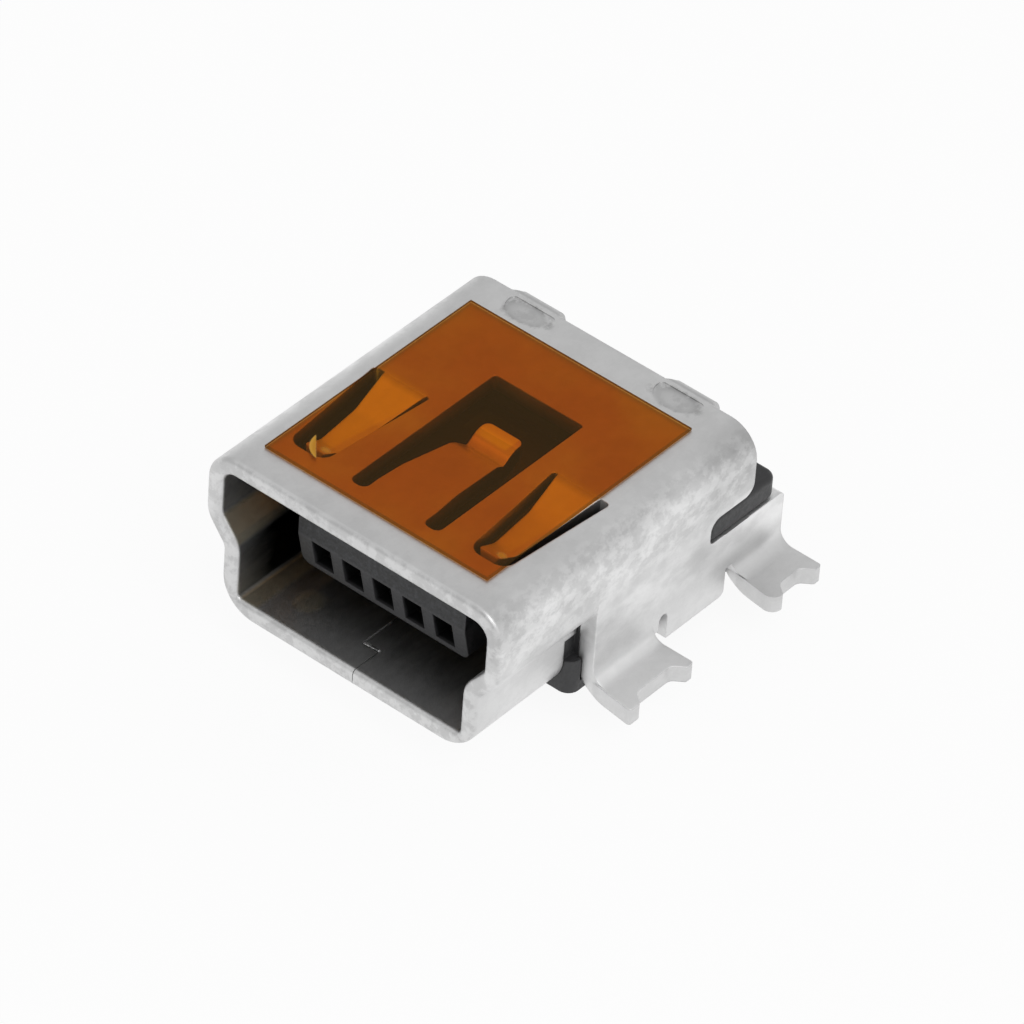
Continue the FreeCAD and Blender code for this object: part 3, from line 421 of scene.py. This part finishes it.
def moulded_plastic():
    """Matt black moulding with a fine eroded texture."""
    graph = Graph("moulded_plastic")
    place = graph.place()
    side, along, high = graph.axes(place)
    grain = graph.noise(place, 14.0, 3.0, 0.6)
    base = graph.blend(graph.noise(place, 1.1, 4.0), PLASTIC_DARK, PLASTIC_PALE)
    # The nose is paler on the bars between the openings; above them it gets a flecked painted shadow
    # from the shell's lip.
    front = graph.shared(graph.fade(along, NOSE + 0.22, NOSE + 0.26), graph.ramp(high, 1.0, 1.1))
    lip_shadow = graph.shared(front, graph.ramp(high, OPENING_HIGH, OPENING_HIGH + 0.1))
    flecks = graph.ramp(graph.noise(place, 7.0, 5.0, 0.7, offset=(5, 0, 3)), 0.45, 0.65)
    base = graph.blend(front, base, NOSE_BARS)
    base = graph.blend(lip_shadow, base, graph.blend(flecks, NOSE_SHADOW_DARK, NOSE_SHADOW_PALE))
    # The openings behind the slanted nose are painted near black as shade, for no light reaches them.
    slanted = graph.ramp(high, OPENING_LOW, OPENING_HIGH, NOSE + NOSE_SLANT, NOSE)
    inside = graph.shared(graph.ramp(graph.maths("SUBTRACT", along, slanted), 0.03, 0.10),
                          graph.band(high, OPENING_LOW + 0.1, OPENING_HIGH + 0.02, 0.01),
                          graph.fade(graph.maths("ABSOLUTE", side), *OPENING_SIDE),
                          graph.fade(along, NOSE + 2.0, NOSE + 2.1))
    base = graph.blend(inside, base, UNLIT)
    rough = graph.ramp(grain, 0.3, 0.7, 0.42, 0.58)
    relief = graph.bump(0.4, grain, 0.006, Normal=graph.soft_edge(0.04))
    return graph.finish(graph.add("BsdfPrincipled", None, Base_Color=base, Roughness=rough, Normal=relief))


def gold_plating():
    """Satin gold plating with rolling lines along the strip."""
    graph = Graph("gold_plating")
    place = graph.place()
    lines = graph.noise(place, 12.0, 3.0, 0.6, stretch=(1, 8, 1))
    cloud = graph.noise(place, 1.5, 4.0)
    base = graph.blend(cloud, (0.80, 0.60, 0.25, 1), (0.90, 0.70, 0.33, 1))
    rough = graph.ramp(lines, 0.3, 0.7, 0.22, 0.38)
    return graph.finish(graph.add("BsdfPrincipled", None, Base_Color=base, Metallic=1.0, Roughness=rough,
                                  Normal=graph.bump(0.25, lines, 0.003)))


# The film: its tints, the share of its own body in what it shows, and the painted highlights above
# the springs' ends, in millimetres.
TINT_DEEP = (0.765, 0.32, 0.07, 1)
TINT_LIGHT = (0.815, 0.39, 0.08, 1)
TINT_HIGHLIGHT = (0.90, 0.445, 0.04, 1)
TINT_BORDER = (0.40, 0.27, 0.13, 1)
BORDER_SHARE = 0.8
SPRING_CENTRE = 2.30
SPRING_TAPER = (-2.6, 0.3, 0.25, 0.56)
BODY_SHARE = 0.07
BODY_COLOUR = (0.48, 0.28, 0.09, 1)
CRESCENT_SHARE = 0.9
CRESCENT_CENTRE = (-1.95, -2.264)
CRESCENT_CHORD = (0.753, 0.658)
CRESCENT_AMBER = (0.52, 0.23, 0.001, 1)
CRESCENT_RIM = (0.64, 0.32, 0.02, 1)
GLINT_SHARE = 0.40
GLINT_CENTRES = ((-2.04, -2.48), (2.57, -2.48))
GLINT_RADII = (0.15, 0.10)
GLINT_COLOUR = (0.55, 0.26, 0.004, 1)


def film_tint(graph, place, side, along):
    """The film's tint: a little uneven, with a painted highlight that makes it lighter and yellower
    above the springs and the latch's bent end, and darker at its cut border.
    """
    uneven = graph.ramp(graph.noise(place, 0.35, 5.0), 0.35, 0.65)
    tint = graph.blend(uneven, TINT_DEEP, TINT_LIGHT)
    # A painted highlight: the tint is lighter and yellower above the springs, which widen to the rear,
    # and above the latch's bent end, more so on the left.
    across = graph.maths("ABSOLUTE", side)
    aside = graph.maths("ABSOLUTE", graph.maths("SUBTRACT", across, SPRING_CENTRE))
    aside = graph.maths("SUBTRACT", aside, graph.ramp(along, *SPRING_TAPER))
    springs = graph.shared(graph.fade(aside, 0.0, 0.12), graph.band(along, -2.45, 0.25, 0.12),
                           graph.ramp(side, -1.0, 1.0, 0.86, 0.55))
    latch = graph.shared(graph.fade(across, 0.52, 0.60), graph.band(along, 0.0, 0.72, 0.06))
    tint = graph.blend(graph.most(springs, latch), tint, TINT_HIGHLIGHT)
    middle = (film_low + film_high) / 2 / MM
    half = (film_high - film_low) / 2 / MM
    insets = []
    for axis, value in enumerate((side, along)):
        off_middle = graph.maths("ABSOLUTE", graph.maths("SUBTRACT", value, middle[axis]))
        insets.append(graph.maths("SUBTRACT", half[axis], off_middle))
    border = graph.ramp(graph.maths("MINIMUM", *insets), 0.015, 0.055, BORDER_SHARE, 0.0)
    return graph.blend(border, tint, TINT_BORDER)


def amber_film():
    """Clear amber film: it tints what shows through all but its underside, and has a faint body."""
    graph = Graph("amber_film")
    place = graph.place()
    side, along, high = graph.axes(place)
    upper = graph.maths("GREATER_THAN", high, film_low.z / MM + 0.005)
    tint = graph.blend(upper, WHITE, film_tint(graph, place, side, along))
    through = graph.add("BsdfTransparent", None, Color=tint)
    share = graph.maths("MULTIPLY", upper, BODY_SHARE)
    # Above the left spring's end the film shows a bright yellow crescent: a painted highlight of the
    # spring's curled tip.
    first = graph.maths("SUBTRACT", side, CRESCENT_CENTRE[0])
    second = graph.maths("SUBTRACT", along, CRESCENT_CENTRE[1])
    reach = graph.maths("SQRT", graph.oval(side, along, CRESCENT_CENTRE, (1.0, 1.0)))
    past = graph.raised(graph.maths("MULTIPLY", first, CRESCENT_CHORD[0]), second, CRESCENT_CHORD[1])
    crescent = graph.shared(upper, graph.fade(reach, 0.52, 0.56), graph.fade(past, -0.42, -0.38))
    amber = graph.blend(graph.ramp(reach, 0.44, 0.54), CRESCENT_AMBER, CRESCENT_RIM)
    colour = graph.blend(crescent, BODY_COLOUR, amber)
    share = graph.most(share, graph.maths("MULTIPLY", crescent, CRESCENT_SHARE))
    # Painted glints: a small dull one beside it, and another above the right spring's end.
    for centre in GLINT_CENTRES:
        reach = graph.oval(side, along, centre, GLINT_RADII)
        glint = graph.shared(upper, graph.ramp(reach, 0.0, 1.3, GLINT_SHARE, 0.0))
        colour = graph.blend(graph.maths("MULTIPLY", glint, 2.2, clamp=True), colour, GLINT_COLOUR)
        share = graph.most(share, glint)
    flecks = graph.noise(place, 5.0, 6.0, 0.7, offset=(2, 1, 0))
    haze = graph.ramp(flecks, 0.35, 0.75, 0.28, 0.42)
    body = graph.add("BsdfPrincipled", None, Base_Color=colour, Roughness=haze, IOR=1.45,
                     Normal=graph.bump(0.2, flecks, 0.003))
    return graph.finish(graph.add("MixShader", None, _0=share, _1=through.outputs[0], _2=body.outputs[0]))


def dress(name, material):
    """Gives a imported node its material."""
    for slot in nodes[name].material_slots:
        slot.material = material


dress("shell", plated_metal())
dress("housing", moulded_plastic())
dress("pickup_film", amber_film())
gold = gold_plating()
for name in nodes:
    if name.startswith("contact_"):
        dress(name, gold)


# Camera: the photograph's angle, found from the socket's own corners.
AZIMUTH = math.radians(37.34)
ELEVATION = math.radians(40.665)
ROLL = math.radians(4.289)
DISTANCE = 173.45 * MM
FOCAL_SHARE = 8605.96 / 1024
AIM = Vector((0, shell_low.y + 3.8 * MM, 2.0 * MM))
SHIFT_RIGHT = 0.793 * MM
SHIFT_UP = 0.114 * MM
CLIP_START = 10 * MM
CLIP_END = 10.0


def outward(azimuth, elevation):
    """The direction from the socket at an azimuth, counted from the mouth, and an elevation."""
    return Vector((math.sin(azimuth) * math.cos(elevation), -math.cos(azimuth) * math.cos(elevation),
                   math.sin(elevation)))


back = outward(AZIMUTH, ELEVATION)
level = Vector((math.cos(AZIMUTH), math.sin(AZIMUTH), 0))
upward = back.cross(level)
right = level * math.cos(ROLL) + upward * math.sin(ROLL)
up = upward * math.cos(ROLL) - level * math.sin(ROLL)
lens = bpy.data.cameras.new("photo_camera")
lens.lens = lens.sensor_width * FOCAL_SHARE
lens.clip_start = CLIP_START
lens.clip_end = CLIP_END
camera = bpy.data.objects.new("photo_camera", lens)
turn = Matrix((right, up, back)).transposed()
stand = AIM + right * SHIFT_RIGHT + up * SHIFT_UP + back * DISTANCE
camera.matrix_world = Matrix.Translation(stand) @ turn.to_4x4()
bpy.context.scene.collection.objects.link(camera)
bpy.context.scene.camera = camera


def lamp(name, azimuth, elevation, distance, size, radiance):
    """A soft square white lamp that faces the socket, given by the light it shows."""
    data = bpy.data.lights.new(name, "AREA")
    data.size = size
    data.energy = radiance * math.pi * size * size
    away = outward(math.radians(azimuth), math.radians(elevation))
    item = bpy.data.objects.new(name, data)
    item.location = away * distance
    item.rotation_euler = away.to_track_quat("Z", "Y").to_euler()
    bpy.context.scene.collection.objects.link(item)


lamp("key_lamp", azimuth=70, elevation=55, distance=0.30, size=0.20, radiance=2.0)
lamp("fill_lamp", azimuth=-50, elevation=45, distance=0.35, size=0.25, radiance=0.25)
lamp("top_lamp", azimuth=-120, elevation=68, distance=0.35, size=0.16, radiance=0.3)

# The room is a little brighter near the table than overhead.
ROOM_HEIGHTS = (0.05, 0.50)
ROOM_LEVELS = (0.85, 0.56)

world = bpy.data.worlds.new("studio")
world.use_nodes = True
room = world.node_tree
background = room.nodes["Background"]
looking = room.nodes.new("ShaderNodeTexCoord")
parts = room.nodes.new("ShaderNodeSeparateXYZ")
falloff = room.nodes.new("ShaderNodeMapRange")
falloff.interpolation_type = "SMOOTHSTEP"
room.links.new(looking.outputs["Generated"], parts.inputs[0])
room.links.new(parts.outputs[2], falloff.inputs[0])
for socket, value in zip(falloff.inputs[1:5], ROOM_HEIGHTS + ROOM_LEVELS):
    socket.default_value = value
background.inputs["Color"].default_value = WHITE
room.links.new(falloff.outputs[0], background.inputs["Strength"])
bpy.context.scene.world = world

FLOOR_REACH = 2.0
FLOOR_GLOW = 0.92


def pale_floor():
    """White card: it stays white to the camera and in reflections, and keeps a faint shadow."""
    graph = Graph("pale_floor")
    fibres = graph.noise(graph.place(), 0.05, 4.0)
    base = graph.blend(fibres, (0.86, 0.86, 0.86, 1), (0.90, 0.90, 0.90, 1))
    card = graph.add("BsdfPrincipled", None, Base_Color=base, Roughness=0.9)
    glow = graph.add("Emission", None, Color=WHITE, Strength=1.0)
    rays = graph.add("LightPath").outputs
    seen = graph.maths("ADD", rays["Is Camera Ray"], rays["Is Glossy Ray"], clamp=True)
    seen = graph.maths("ADD", seen, rays["Is Transmission Ray"], clamp=True)
    share = graph.maths("MULTIPLY", seen, FLOOR_GLOW)
    return graph.finish(graph.add("MixShader", None, _0=share, _1=card.outputs[0], _2=glow.outputs[0]))


mesh = bpy.data.meshes.new("floor")
corners = [(x * FLOOR_REACH, y * FLOOR_REACH, 0) for x, y in ((-1, -1), (1, -1), (1, 1), (-1, 1))]
mesh.from_pydata(corners, [], [(0, 1, 2, 3)])
mesh.materials.append(pale_floor())
floor = bpy.data.objects.new("floor", mesh)
floor.location.z = cad_box[0].z
bpy.context.scene.collection.objects.link(floor)

bpy.context.scene.view_settings.view_transform = "Standard"
bpy.context.view_layer.update()
